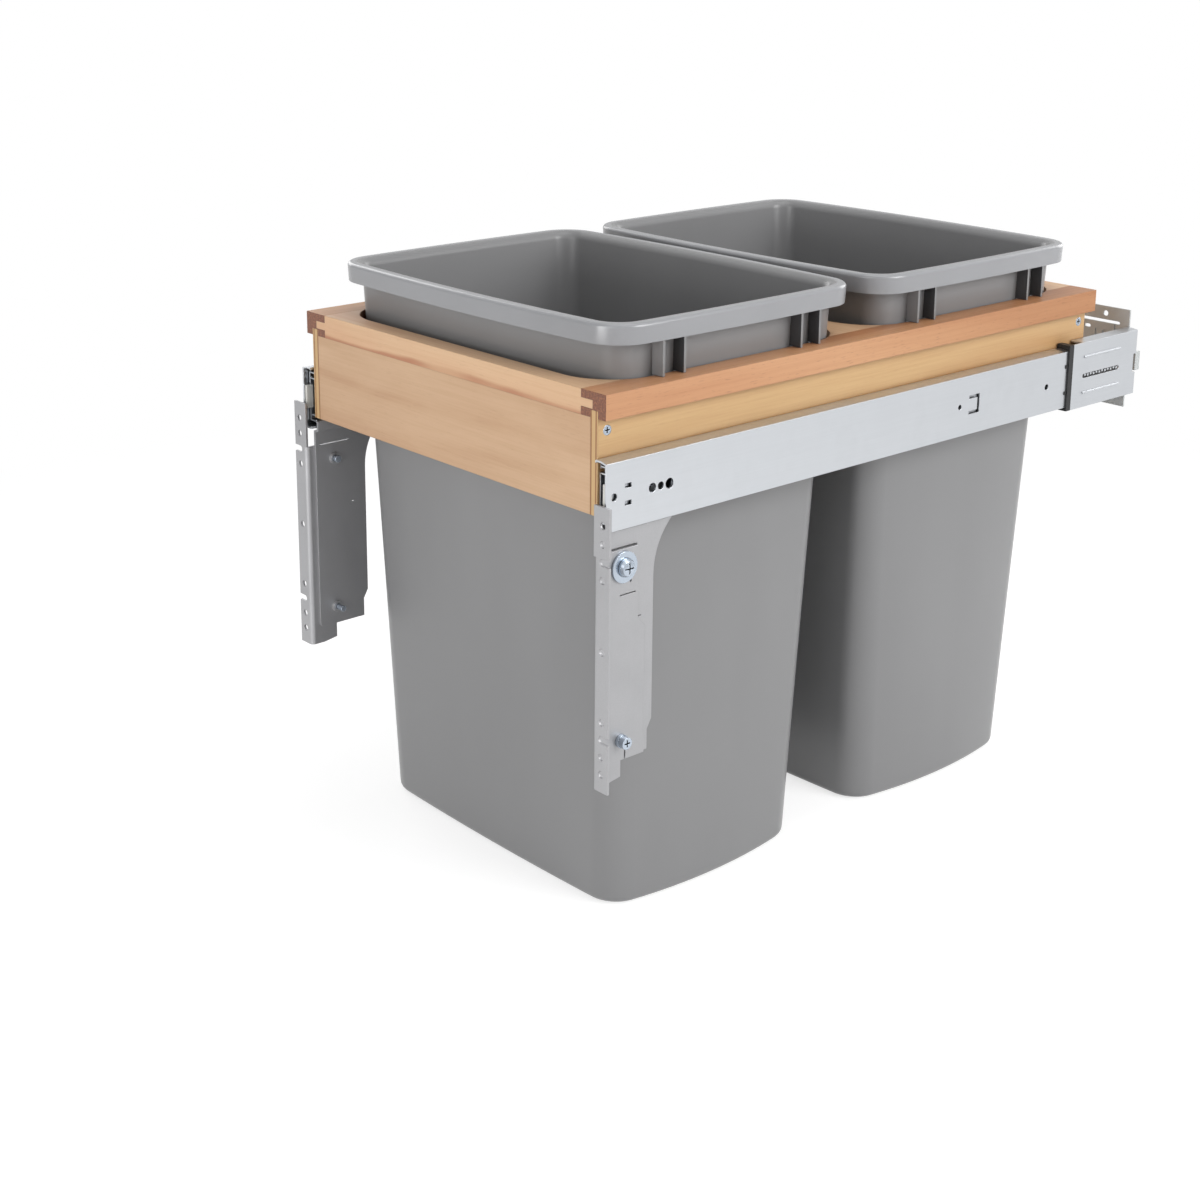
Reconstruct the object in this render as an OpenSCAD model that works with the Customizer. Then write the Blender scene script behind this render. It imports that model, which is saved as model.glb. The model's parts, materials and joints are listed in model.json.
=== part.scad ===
/* [Wood frame] */
// Width of the wood frame over its side rails
frame_w = 377.8; // [300:0.1:480]
// Length of the wood frame from front to back
frame_len = 588; // [480:0.5:720]
// Thickness of the frame boards
board_t = 19.05; // [15:0.05:23]
// Width of a side rail before its openings are cut
side_rail_w = 26.7; // [25:0.1:34]
// Width of a side rail beside the openings
side_edge = 21.4; // [19:0.1:22.6]
// Width of the front rail at the middle of its opening
front_rail_w = 18; // [14:0.5:26]
// Width of the rear rail at the middle of its opening
rear_rail_w = 14; // [12:0.5:26]
// Width of the rail between the two bins
middle_rail_w = 20; // [16:0.5:30]
// Corner radius of the bin openings
opening_r = 45; // [34:1:45]
// Depth of a rail's tongue in the side rail
tongue_len = 12.5; // [8:0.5:14]

/* [Apron] */
// Height of the apron under the boards
apron_h = 72.5; // [60:0.5:90]
// Thickness of the side panels
side_panel_t = 8; // [6:0.1:9.6]
// Thickness of the front and rear panels
end_panel_t = 12.7; // [9:0.1:19]
// Distance that the side rails stand out past the side panels
overhang = 8.3; // [6:0.1:10]
// Depth that the side panels are let up into the boards
panel_let = 5.5; // [3:0.5:6]
// Distance from the rear end of a side panel to the rear face of the boards
rear_setback = 3; // [1:0.5:8]

/* [Slides] */
// Height of the cabinet member
slide_h = 54; // [46:1:63]
// Thickness of a closed slide
slide_t = 12.7; // [10.5:0.1:15.3]
// Distance from the top of the boards down to the centre line of the slides
slide_drop = 74.8; // [68:0.1:90]
// Distance that the cabinet member goes past the rear face of the boards
slide_past = 0.5; // [0:0.5:20]
// Length that the middle member is shorter than the wood frame
middle_short = 28; // [10:1:60]
// Length that the drawer member is shorter than the wood frame
drawer_short = 8; // [3:1:30]
// Radius of the slide balls
ball_r = 1.75; // [1.4:0.05:2.1]
// Number of balls in a row
ball_count = 8; // [4:1:10]
// Distance from one ball to the next
ball_pitch = 30; // [20:1:32]

/* [Rear fixing] */
// Length of the rear sleeve
sleeve_len = 102.5; // [80:0.5:140]
// Length of the slide inside the rear sleeve
sleeve_lap = 36.9; // [20:0.1:60]
// Sheet thickness of the sleeve and the wall plate
sleeve_t = 1.5; // [1:0.1:2]
// Width of the wall plate
wall_plate_w = 60; // [50:1:70]
// Height of the wall plate
wall_plate_h = 91.5; // [80:0.5:120]

/* [Door brackets] */
// Height of the door bracket
bracket_h = 219.5; // [180:0.5:270]
// Width of the flange that the door is screwed to
flange_w = 16.6; // [14:0.1:22]
// Sheet thickness of both bracket pieces
bracket_t = 2; // [1.2:0.1:2]
// Width of the bracket plate's straight stretch
plate_w = 51; // [48:0.5:60]
// Radius of the flare at the top of the bracket plate
flare_r = 56; // [50:1:62]
// Radius of the door screw holes
door_hole_r = 2.8; // [2:0.1:3.4]
// Radius of the clamp screw's thread
clamp_screw_r = 3; // [2:0.1:3.5]

/* [Bins] */
// Distance from the side of the wood frame in to a bin's rim
rim_inset = 10.4; // [9:0.1:13]
// Distance that a bin's rim reaches past its opening, front and rear
rim_past = 3.3; // [1:0.1:5]
// Height of a bin from its floor to its rim
bin_h = 478.5; // [380:0.1:580]
// Height of the rim above the boards
rim_above = 43.2; // [34:0.1:60]
// Height of the rim's skirt
skirt_h = 15.6; // [12:0.1:20]
// Distance from the body to the outside of the skirt
rim_out = 12; // [10.6:0.1:14.4]
// Wall thickness of a bin
bin_wall = 2.5; // [2:0.1:3]
// Taper of each wide side from the rim to the floor
taper_x = 9.3; // [4:0.1:16]
// Taper of each long side from the rim to the floor
taper_y = 17.4; // [8:0.1:24]
// Corner radius of a bin's body at its top
bin_top_r = 20; // [18:0.5:30]
// Corner radius of a bin's body at its floor
bin_floor_r = 29; // [20:0.5:36]
// Thickness of the ribs that a bin hangs on
rib_t = 2.2; // [1.5:0.1:4]

/* [Hidden] */
$fn = 48;

// Colours as the object shows them
board_colour = [0.84, 0.66, 0.50];
apron_colour = [0.82, 0.68, 0.52];
ply_colour = [0.85, 0.70, 0.48];
bin_colour = [0.50, 0.50, 0.52];
zinc_colour = [0.80, 0.82, 0.85];
bracket_colour = [0.70, 0.70, 0.71];
wall_plate_colour = [0.58, 0.55, 0.52];
steel_colour = [0.78, 0.80, 0.83];
black_colour = [0.10, 0.10, 0.11];
bumper_colour = [0.88, 0.88, 0.87];

// Clearance of each running fit and overrun of each cut
gap = 0.3;
fit = 0.1;
over = 1;

// Heights: zero is the centre line of the slides
top_z = slide_drop;
board_z = top_z - board_t;
apron_z = board_z - apron_h;
panel_face = frame_w / 2 - overhang;
panel_in = panel_face - side_panel_t;
panel_len = frame_len - rear_setback;

// Two equal openings lie between the rails, and the bins hang in their centres
opening_w = frame_w - 2 * side_edge;
opening_len = (frame_len - front_rail_w - middle_rail_w - rear_rail_w) / 2;
opening_ys = [for (i = [0, 1]) front_rail_w + opening_len / 2 + i * (opening_len + middle_rail_w)];
rail_end = frame_w / 2 - side_rail_w;
rim_w = frame_w - 2 * rim_inset;
rim_len = opening_len + 2 * rim_past;

// Section of a slide: u is measured outward from the side panel and v up from the centre line
slide_y = -3.2;
slide_end = frame_len + slide_past;
member_setback = 5;
member_y = slide_y + member_setback;
middle_member_len = frame_len - middle_short;
drawer_member_len = frame_len - drawer_short;
cabinet_t = 1.4;
member_t = 1.2;
cage_t = 0.5;
race_gap = 0.2;
bend = 0.7;
lip_rise = 1.4;
hook_u = 0.9;
hook_w = 0.9;
hook_h = 0.8;
cabinet_v = slide_h / 2;
lip_v = cabinet_v - cabinet_t;
outer_ball_v = lip_v - race_gap - ball_r;
middle_v = outer_ball_v - race_gap - ball_r;
inner_ball_v = middle_v - member_t - race_gap - ball_r;
drawer_v = inner_ball_v - race_gap - ball_r;
cabinet_u = slide_t - cabinet_t;
outer_cage_u = cabinet_u - gap;
middle_u = outer_cage_u - cage_t - gap;
inner_cage_u = middle_u - member_t - gap;
drawer_u = inner_cage_u - cage_t - gap;
ball_u = (hook_u + hook_w + drawer_u) / 2;
lip_flat_u = ball_u + ball_r + race_gap;
cage_edge = 0.8;
cage_margin = 15;
cage_y = 150;
cage_len = (ball_count - 1) * ball_pitch + 2 * cage_margin;

// Holes along the slide members
rear_hole_in = 193.3;
mount_hole_ys = [4.5, 42, 50.3, 59, slide_end - rear_hole_in];
mount_hole_rs = [3, 3.6, 3, 4, 2.2];
front_holes = 4;
dimple_in = 72.4;
dimple_y = slide_end - dimple_in;
dimple_v = -2.1;
dimple_r = 2.6;
key_slot_y = 18.2;
key_slot_v = 6.5;
key_slot_size = [6.5, 3.5];
window_in = 174.1;
window_y = slide_end - window_in;
window_size = [14, 16.5];
window_slit = 3;
access_r = 5;
rear_screw_in = 88;
slide_screw_ys = [mount_hole_ys[2], frame_len / 2, frame_len - rear_screw_in];
slide_screw_r = 2;
slide_screw_head_r = 3.4;
slide_screw_head_h = 1.5;
bumper_setback = 1;
bumper_grip = 2;
bumper_h = 20;
bumper_t = 2;

// Rear fixing
sleeve_y = slide_end - sleeve_lap;
collar_len = 6.3;
collar_tab = 3;
collar_tab_v = 12;
sleeve_over = 2.8;
sleeve_rise = 1;
sleeve_notch = 14;
web_setback = 4.6;
ear_notch_len = 3.9;
sleeve_slot_len = 56;
sleeve_slot_w = 4;
sleeve_slot_from = 15.5;
emboss_r = sleeve_t - gap;
emboss_v = 16.5;
emboss_len = 55;
emboss_from = 16.5;
wall_y = sleeve_y + sleeve_len;
wall_plate_out = 2;
wall_plate_top = 46.3;
ear_h = 17.4;
ear_in = 3.3;
ear_back = 7;
wall_hole_r = 2.5;
wall_hole_in = 25.5;
wall_hole_drop = 6.6;
wall_slot_size = [42, 2.8];
wall_slot_in = 30.9;
wall_slot_drop = 14;
short_slot_size = [6, 3];
short_slot_in = 44;
short_slot_drop = 21;
slit_size = [1.4, 8];
slit_ins = [35, 15];
slit_drops = [26.5, 18.5];
small_hole_r = 2.2;
small_hole_in = 26;
small_hole_drop = 24.5;
pocket_depth = 1;

// Door brackets
joggle_out = 4.5;
joggle_drop = 1.5;
web_x = panel_face + joggle_out;
flange_y = -7.2;
flange_top = -4.7;
flange_bottom = flange_top - bracket_h;
flange_mid = (flange_top + flange_bottom) / 2;
flange_hole_in = 7.2;
flange_hole_x = web_x + flange_w - flange_hole_in;
door_hole_ins = [55, 27.8, 14];
door_hole_drops = [0, for (inset = door_hole_ins) bracket_h / 2 - inset];
door_slot_in = 41.5;
door_slot_drop = bracket_h / 2 - door_slot_in;
bend_in = 1.8;
bend_out = bend_in + bracket_t;
tongue_drop = 38.6;
web_len = 42.4;
web_wide_len = 49.7;
web_step_drop = 95.4;
web_foot_len = 26.3;
web_foot_rise = 15.1;
web_foot_cut = 2;
plate_y = 1;
plate_bottom = flange_bottom + 15.6;
plate_corner = 2;
plate_foot_cut = 4.5;
plate_foot_h = 16;
plate_foot_slope = 8;
plate_top = 14;
plate_top_from = 14;
plate_top_len = 52;
plate_shoulder = 2;
plate_clearance = 1;
joggle_z = -cabinet_v - plate_clearance;
flare_drop = 65.8;
flare_steps = 8;
groove_h = 1;
groove_from = 5;
nick_size = [3.2, 1];
nick_y = 38.6;
nick_drop = 95;
clamp_y = 20.1;
adjust_y = 18.8;
clamp_head_r = 7;
clamp_head_h = 5;
clamp_screw_len = 12;
clamp_drop = 52.3;
adjust_rise = 31.2;
adjust_screw_r = 2.5;
adjust_screw_len = 14;
adjust_collar_r = 5.3;
adjust_collar_h = 3;
adjust_head_r = 4.7;
adjust_head_h = 7.8;
boss_r = 5;
boss_h = 2;
washer_r = 12;
washer_t = 2;
clamp_slot_len = 12;
web_slit_size = [15.6, 1];
web_slit_y = 24.6;
web_slit_drop = 74;
mark_hole_r = 1.1;
mark_hole_y = 27.4;
mark_hole_drop = 64.5;
foot_slit_w = 1.3;
foot_slit_y = 23.4;
foot_slit_len = 7;

// Screws
panel_screw_r = 1.7;
panel_screw_head_r = 3.9;
panel_screw_head_h = 2.4;
panel_screw_len = 24;
panel_screw_in = 9.5;
panel_screw_from_end = 8.9;
cross_w = 1.1;
cross_depth = 1.8;
cross_share = 0.6;
pan_shares = [[0, 0], [1, 0], [1, 0.45], [0.8, 0.85], [0.4, 1], [0, 1]];

// Bins: heights, outlines and the rim's section
rim_z = top_z + rim_above;
floor_z = rim_z - bin_h;
skirt_z = rim_z - skirt_h;
bin_seat_gap = 0.3;
floor_fillet = 7;
rim_round = 3;
rib_spots = [63, 84];
rib_in = 1;
side_arcs = [2, 10];
long_arcs = [3.6, 2.3];
arc_steps = 2;
corner_steps = 7;

// Extrudes a drawing of the X and Z axes along Y
module along_y(y, len) {
    translate([0, y + len, 0])
        rotate([90, 0, 0])
            linear_extrude(len)
                children();
}

// Extrudes a drawing of the Y and Z axes along X
module along_x(x, len) {
    translate([x, 0, 0])
        rotate([90, 0, 90])
            linear_extrude(len)
                children();
}

// A box between two corners
module block(low, high) {
    translate(low)
        cube(high - low);
}

// A rod along X that starts at a point
module rod_x(from, r, len) {
    translate(from)
        rotate([0, 90, 0])
            cylinder(h = len, r = r);
}

// A flat slot with round ends, drawn about its centre
module slot_shape(size) {
    w = max(size.x, size.y);
    t = min(size.x, size.y);
    square(size.x > size.y ? [w - t, t] : [t, w - t], center = true);
    for (i = [-1, 1])
        translate(size.x > size.y ? [i * (w - t) / 2, 0] : [0, i * (w - t) / 2])
            circle(t / 2);
}

// Draws the right side as it is and the left side as its mirror image
module on_side(side) {
    if (side > 0)
        children();
    else
        mirror([1, 0, 0])
            children();
}

// A half outline above the centre line, closed by its mirror image below
function both_halves(half) = concat(half, [for (i = [len(half) - 1:-1:0]) [half[i].x, -half[i].y]]);

// Points of an arc about a centre, from one angle to another
function arc_points(centre, r, from, to, steps) =
    [for (i = [0:steps]) let (a = from + (to - from) * i / steps) centre + r * [cos(a), sin(a)]];

// Wood frame
module rounded_opening() {
    w = opening_w - 2 * opening_r;
    l = opening_len - 2 * opening_r;
    square([w, opening_len], center = true);
    square([opening_w, l], center = true);
    for (x = [-1, 1], y = [-1, 1])
        translate([x * w / 2, y * l / 2])
            circle(opening_r, $fn = 96);
}

module openings() {
    for (y = opening_ys)
        translate([0, y, board_z - over])
            linear_extrude(board_t + 2 * over)
                rounded_opening();
}

// Where the tongues of the front, middle and rear rails start and end along the frame
tongue_t = board_t / 3;
middle_y = opening_ys[0] + opening_len / 2 + middle_rail_w / 2;
cross_tongues = [
    [0, 2 * front_rail_w],
    [middle_y - middle_rail_w, middle_y + middle_rail_w],
    [frame_len - 2 * rear_rail_w, frame_len]
];

module tongue(i) {
    half = rail_end + tongue_len;
    y = cross_tongues[i];
    z = board_z + tongue_t;
    block([-half, y[0], z], [half, y[1], z + tongue_t]);
}

module cross_rail(i, from, to) {
    color(board_colour)
        difference() {
            union() {
                block([-rail_end, from, board_z], [rail_end, to, top_z]);
                tongue(i);
            }
            openings();
        }
}

module front_rail() {
    cross_rail(0, 0, front_rail_w + opening_r);
}

module middle_rail() {
    reach = middle_rail_w / 2 + opening_r;
    cross_rail(1, middle_y - reach, middle_y + reach);
}

module rear_rail() {
    cross_rail(2, frame_len - rear_rail_w - opening_r, frame_len);
}

module side_rail(side) {
    color(board_colour)
        on_side(side)
            difference() {
                block([rail_end, 0, board_z], [frame_w / 2, frame_len, top_z]);
                openings();
                for (i = [0, 1, 2])
                    tongue(i);
                block([panel_in, -over, board_z - over], [panel_face, panel_len, board_z + panel_let]);
            }
}

// Apron panels, with the screws that hold them together
panel_screw_zs = [board_z - panel_screw_in, apron_z + panel_screw_in];
panel_screw_ys = [panel_screw_from_end, panel_len - panel_screw_from_end];

module panel_screw(clearance) {
    rotate([0, -90, 0]) {
        cylinder(h = panel_screw_len, r = panel_screw_r + clearance);
        cylinder(
            h = panel_screw_head_h,
            r1 = panel_screw_head_r + clearance,
            r2 = panel_screw_r + clearance
        );
    }
}

// A cross recess for a driver, cut along X into a head at the origin
module cross_recess(r, depth) {
    for (turn = [0, 90])
        rotate([turn, 0, 0])
            block([-depth, -r, -cross_w / 2], [over, r, cross_w / 2]);
}

module panel_screws() {
    color(steel_colour)
        for (x = [-1, 1], y = panel_screw_ys, z = panel_screw_zs)
            on_side(x)
                translate([panel_face, y, z])
                    difference() {
                        panel_screw(0);
                        cross_recess(panel_screw_head_r * cross_share, cross_depth);
                    }
}

module panel_screw_holes() {
    for (x = [-1, 1], y = panel_screw_ys, z = panel_screw_zs)
        on_side(x)
            translate([panel_face, y, z])
                panel_screw(fit);
}

module end_panel(from) {
    color(apron_colour)
        difference() {
            block([-panel_in, from, apron_z], [panel_in, from + end_panel_t, board_z]);
            panel_screw_holes();
        }
}

module front_panel() {
    end_panel(0);
}

module rear_panel() {
    end_panel(panel_len - end_panel_t);
}

module side_panel(side) {
    color(ply_colour)
        difference() {
            on_side(side)
                difference() {
                    block([panel_in, 0, apron_z], [panel_face, panel_len, board_z + panel_let]);
                    block(
                        [panel_face - bracket_t, plate_top_from, apron_z - over],
                        [panel_face + over, plate_top_from + plate_top_len, plate_top]
                    );
                    slide_screw_holes(panel_face - side_panel_t - over, 2 * side_panel_t);
                }
            panel_screw_holes();
        }
}

// Slides
cabinet_half = [
    [slide_t, cabinet_v - lip_rise],
    [lip_flat_u, cabinet_v],
    [hook_u + bend, cabinet_v],
    [hook_u, cabinet_v - bend],
    [hook_u, lip_v - hook_h],
    [hook_u + hook_w, lip_v - hook_h],
    [hook_u + hook_w, lip_v],
    [lip_flat_u, lip_v],
    [cabinet_u, lip_v - lip_rise + bend / 2]
];
middle_half = [
    [middle_u, middle_v - bend],
    [middle_u - bend, middle_v],
    [hook_u + hook_w, middle_v],
    [hook_u + hook_w, middle_v + hook_h],
    [hook_u, middle_v + hook_h],
    [hook_u, middle_v - member_t - hook_h],
    [hook_u + hook_w, middle_v - member_t - hook_h],
    [hook_u + hook_w, middle_v - member_t],
    [middle_u - member_t, middle_v - member_t]
];
drawer_half = [
    [0, drawer_v],
    [drawer_u - bend, drawer_v],
    [drawer_u - bend, drawer_v + hook_h],
    [drawer_u, drawer_v + hook_h],
    [drawer_u, drawer_v - member_t],
    [member_t, drawer_v - member_t]
];
outer_cage_half = [
    [outer_cage_u, outer_ball_v - 2 * bend],
    [outer_cage_u - lip_rise, outer_ball_v + cage_t / 2],
    [ball_u - ball_r - cage_edge, outer_ball_v + cage_t / 2],
    [ball_u - ball_r - cage_edge, outer_ball_v - cage_t / 2],
    [outer_cage_u - lip_rise - cage_t / 2, outer_ball_v - cage_t / 2],
    [outer_cage_u - cage_t, outer_ball_v - 2 * bend - cage_t / 2]
];
inner_cage_half = [
    [inner_cage_u, inner_ball_v + cage_t / 2],
    [hook_u + hook_w + gap, inner_ball_v + cage_t / 2],
    [hook_u + hook_w + gap, inner_ball_v - cage_t / 2],
    [inner_cage_u - cage_t, inner_ball_v - cage_t / 2]
];

module section(half) {
    translate([panel_face, 0])
        polygon(both_halves(half));
}

module cabinet_holes() {
    for (i = [0:len(mount_hole_ys) - 1])
        rod_x([panel_face + middle_u, mount_hole_ys[i], 0], mount_hole_rs[i], slide_t);
    for (v = [-1, 1])
        along_x(panel_face + middle_u, slide_t)
            translate([key_slot_y, v * key_slot_v])
                square(key_slot_size, center = true);
    along_x(panel_face + middle_u, slide_t)
        translate([window_y, 0])
            difference() {
                square(window_size, center = true);
                translate([-window_slit, 0])
                    square([window_size.x, window_size.y - 2 * window_slit], center = true);
            }
    rod_x([panel_face + middle_u, dimple_y, dimple_v], dimple_r, slide_t);
}

module cabinet_member(side) {
    color(zinc_colour)
        on_side(side)
            difference() {
                along_y(slide_y, slide_end - slide_y)
                    section(cabinet_half);
                cabinet_holes();
            }
}

module middle_member(side) {
    color(zinc_colour)
        on_side(side)
            difference() {
                along_y(member_y, middle_member_len)
                    section(middle_half);
                for (i = [1:front_holes - 1])
                    rod_x([panel_face + drawer_u, mount_hole_ys[i], 0], access_r, middle_u);
            }
}

module slide_screw_holes(x, len) {
    for (y = slide_screw_ys)
        rod_x([x, y, 0], slide_screw_r + fit, len);
}

module drawer_member(side) {
    color(zinc_colour)
        on_side(side)
            difference() {
                along_y(member_y, drawer_member_len)
                    section(drawer_half);
                slide_screw_holes(panel_face - over, 2 * member_t + over);
            }
}

module each_ball(v) {
    for (i = [0:ball_count - 1], up = [-1, 1])
        translate([panel_face + ball_u, cage_y + cage_margin + i * ball_pitch, up * v])
            children();
}

module cage(side, half, v) {
    color(bracket_colour)
        on_side(side)
            difference() {
                along_y(cage_y, cage_len)
                    section(half);
                each_ball(v)
                    cylinder(h = 2 * ball_r, r = ball_r + fit, center = true);
            }
}

module ball_rows(side, v) {
    color(steel_colour)
        on_side(side)
            each_ball(v)
                sphere(ball_r, $fn = 24);
}

// A pan head at the origin that stands out along X
module pan_head(r, h) {
    rotate([0, 90, 0])
        rotate_extrude()
            polygon([for (p = pan_shares) [p.x * r, p.y * h]]);
}

module slide_screws(side) {
    color(steel_colour)
        on_side(side)
            for (y = slide_screw_ys)
                translate([panel_face + member_t, y, 0])
                    difference() {
                        union() {
                            pan_head(slide_screw_head_r, slide_screw_head_h);
                            rod_x([-side_panel_t, 0, 0], slide_screw_r, side_panel_t);
                        }
                        translate([slide_screw_head_h, 0, 0])
                            cross_recess(
                            slide_screw_head_r * cross_share,
                            slide_screw_head_h * cross_share
                        );
                    }
}

module bumper(side) {
    nose = slide_y + bumper_setback;
    end = member_y + bumper_grip;
    color(bumper_colour)
        on_side(side)
            difference() {
                block(
                    [panel_face + middle_u - bumper_t, nose, -bumper_h / 2],
                    [panel_face + cabinet_u - gap, end, bumper_h / 2]
                );
                block(
                    [panel_face + middle_u - member_t, member_y, -bumper_h],
                    [panel_face + middle_u, end + over, bumper_h]
                );
            }
}

// Rear fixing: a dark collar, a sleeve over the slide's rear end and a plate for the cabinet's back
sleeve_v = cabinet_v + sleeve_over;

module collar(side) {
    x = panel_face;
    color(black_colour)
        on_side(side)
            difference() {
                union() {
                    block(
                        [x + hook_u, sleeve_y - collar_len, sleeve_rise - sleeve_v],
                        [x + slide_t + sleeve_t, sleeve_y, sleeve_rise + sleeve_v]
                    );
                    for (v = [-collar_tab_v, collar_tab_v])
                        block(
                            [x + slide_t, sleeve_y - collar_len - collar_tab, v - collar_tab / 2],
                            [x + slide_t + sleeve_t / 2, sleeve_y, v + collar_tab / 2]
                        );
                }
                along_y(sleeve_y - collar_len - collar_tab - over, sleeve_len)
                    polygon([
                        [x - over, -cabinet_v], [x + lip_flat_u, -cabinet_v],
                        [x + slide_t, -cabinet_v + lip_rise], [x + slide_t, cabinet_v - lip_rise],
                        [x + lip_flat_u, cabinet_v], [x - over, cabinet_v]
                    ]);
            }
}

module sleeve(side) {
    x = panel_face + slide_t;
    web_end = wall_y - web_setback;
    color(zinc_colour)
        on_side(side)
            difference() {
                union() {
                    block(
                        [x, sleeve_y, sleeve_rise - sleeve_v],
                        [x + sleeve_t, web_end, sleeve_rise + sleeve_v]
                    );
                    for (v = [-sleeve_v, sleeve_v - sleeve_t])
                        translate([0, 0, sleeve_rise + v])
                            linear_extrude(sleeve_t)
                                polygon([
                                    [panel_face + hook_u, sleeve_y + sleeve_notch],
                                    [x + sleeve_t, sleeve_y + sleeve_notch], [x + sleeve_t, web_end],
                                    [panel_face + wall_plate_out, wall_y], [panel_face + hook_u, wall_y]
                                ]);
                    for (v = [-1, 1])
                        translate([x + sleeve_t, sleeve_y + emboss_from, sleeve_rise + v * emboss_v])
                            rotate([-90, 0, 0])
                                cylinder(h = emboss_len, r = emboss_r);
                }
                along_x(x - over, sleeve_t + 2 * over) {
                    translate([sleeve_y + sleeve_slot_from + sleeve_slot_len / 2, 0])
                        slot_shape([sleeve_slot_len, sleeve_slot_w]);
                    translate([web_end - ear_notch_len, -ear_h / 2])
                        square([ear_notch_len + over, ear_h]);
                }
            }
}

module wall_plate(side) {
    right = panel_face + wall_plate_out;
    ear_x = panel_face + slide_t + sleeve_t - ear_in;
    color(wall_plate_colour)
        on_side(side) {
            difference() {
                along_y(wall_y, sleeve_t)
                    difference() {
                        union() {
                            translate([right - wall_plate_w, wall_plate_top - wall_plate_h])
                                square([wall_plate_w, wall_plate_h]);
                            translate([right, -ear_h / 2])
                                square([ear_x - right, ear_h]);
                        }
                        translate([right - wall_hole_in, wall_plate_top - wall_hole_drop])
                            circle(wall_hole_r);
                        translate([right - wall_slot_in, wall_plate_top - wall_slot_drop])
                            slot_shape(wall_slot_size);
                        translate([right - short_slot_in, wall_plate_top - short_slot_drop])
                            slot_shape(short_slot_size);
                    }
                along_y(wall_y - over, pocket_depth + over) {
                    translate([right - small_hole_in, wall_plate_top - small_hole_drop])
                        circle(small_hole_r);
                    for (i = [0, 1])
                        translate([right - slit_ins[i], wall_plate_top - slit_drops[i]])
                            square(slit_size, center = true);
                }
            }
            block([ear_x - sleeve_t, wall_y, -ear_h / 2], [ear_x, wall_y + ear_back, ear_h / 2]);
        }
}

// Door brackets: a plate fixed to the side panel and an angle for the door, clamped to it
clamp_z = flange_top - clamp_drop;
adjust_z = flange_bottom + adjust_rise;

module plate_outline() {
    rear = plate_y + plate_w;
    foot_z = plate_bottom + plate_foot_h;
    top_rear = plate_top_from + plate_top_len;
    centre = [rear + flare_r, flange_top - flare_drop];
    flare_end = 180 - asin((joggle_z - centre.y) / flare_r);
    polygon(concat(
        [
            [plate_y, plate_bottom + plate_corner],
            [plate_y + plate_corner, plate_bottom],
            [rear - plate_foot_cut, plate_bottom],
            [rear - plate_foot_cut, foot_z],
            [rear, foot_z + plate_foot_slope]
        ],
        arc_points(centre, flare_r, 180, flare_end, flare_steps),
        [
            [top_rear, joggle_z + joggle_drop],
            [top_rear, plate_top],
            [plate_top_from, plate_top],
            [plate_top_from, apron_z - plate_shoulder],
            [plate_y, apron_z - 2 * plate_shoulder]
        ]
    ));
}

// The bent strip of the plate seen from the front: thin at the slide, further out below it
module plate_profile() {
    out_z = joggle_z - joggle_drop;
    shift = bracket_t * tan(atan2(joggle_out, joggle_drop) / 2);
    polygon([
        [panel_face - bracket_t, plate_top + over],
        [panel_face, plate_top + over],
        [panel_face, joggle_z],
        [web_x, out_z],
        [web_x, plate_bottom - over],
        [web_x - bracket_t, plate_bottom - over],
        [web_x - bracket_t, out_z - shift],
        [panel_face - bracket_t, joggle_z - shift]
    ]);
}

module bracket_plate(side) {
    inner = web_x - bracket_t;
    color(bracket_colour)
        on_side(side)
            difference() {
                union() {
                    intersection() {
                        along_y(plate_y - over, plate_w + 2 * flare_r)
                            plate_profile();
                        along_x(panel_in, web_x - panel_in + over)
                            plate_outline();
                    }
                    for (place = [[clamp_y, clamp_z], [adjust_y, adjust_z]])
                        rod_x([inner - boss_h, place.x, place.y], boss_r, boss_h + bracket_t / 2);
                }
                rod_x([panel_in, clamp_y, clamp_z], clamp_screw_r + fit, web_x);
                rod_x([panel_in, adjust_y, adjust_z], adjust_screw_r + fit, web_x);
                slide_screw_holes(panel_in, slide_t + side_panel_t);
                block(
                    [panel_in, groove_from, flange_top - tongue_drop],
                    [web_x + over, flange_y + web_len, flange_top - tongue_drop + groove_h]
                );
                along_x(panel_in, slide_t + side_panel_t)
                    translate([nick_y, flange_top - nick_drop])
                        slot_shape(nick_size);
            }
}

module flange_outline() {
    difference() {
        translate([web_x, flange_bottom])
            square([flange_w, bracket_h]);
        for (drop = door_hole_drops, up = [-1, 1])
            translate([flange_hole_x, flange_mid + up * drop])
                circle(door_hole_r);
        for (up = [-1, 1])
            translate([flange_hole_x, flange_mid + up * door_slot_drop]) {
                circle(door_hole_r);
                translate([0, -door_hole_r])
                    square([flange_w, 2 * door_hole_r]);
            }
    }
}

module web_outline() {
    y = flange_y;
    difference() {
        polygon([
            [y, flange_top - tongue_drop], [y + web_len, flange_top - tongue_drop],
            [y + web_len, flange_top - web_step_drop],
            [y + web_wide_len, flange_top - web_step_drop - web_wide_len + web_len],
            [y + web_wide_len, flange_bottom + web_foot_rise],
            [y + web_foot_len, flange_bottom + web_foot_rise],
            [y + web_foot_len, flange_bottom + web_foot_cut], [y + web_foot_len / 2, flange_bottom],
            [y, flange_bottom]
        ]);
        translate([clamp_y, clamp_z])
            slot_shape([2 * (clamp_screw_r + fit), clamp_slot_len]);
        translate([adjust_y, adjust_z])
            circle(adjust_screw_r + fit);
        translate([web_slit_y, flange_top - web_slit_drop])
            square(web_slit_size, center = true);
        translate([mark_hole_y, flange_top - mark_hole_drop])
            circle(mark_hole_r);
        translate([foot_slit_y - foot_slit_w / 2, flange_bottom + web_foot_rise - over])
            square([foot_slit_w, foot_slit_len + over]);
    }
}

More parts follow.
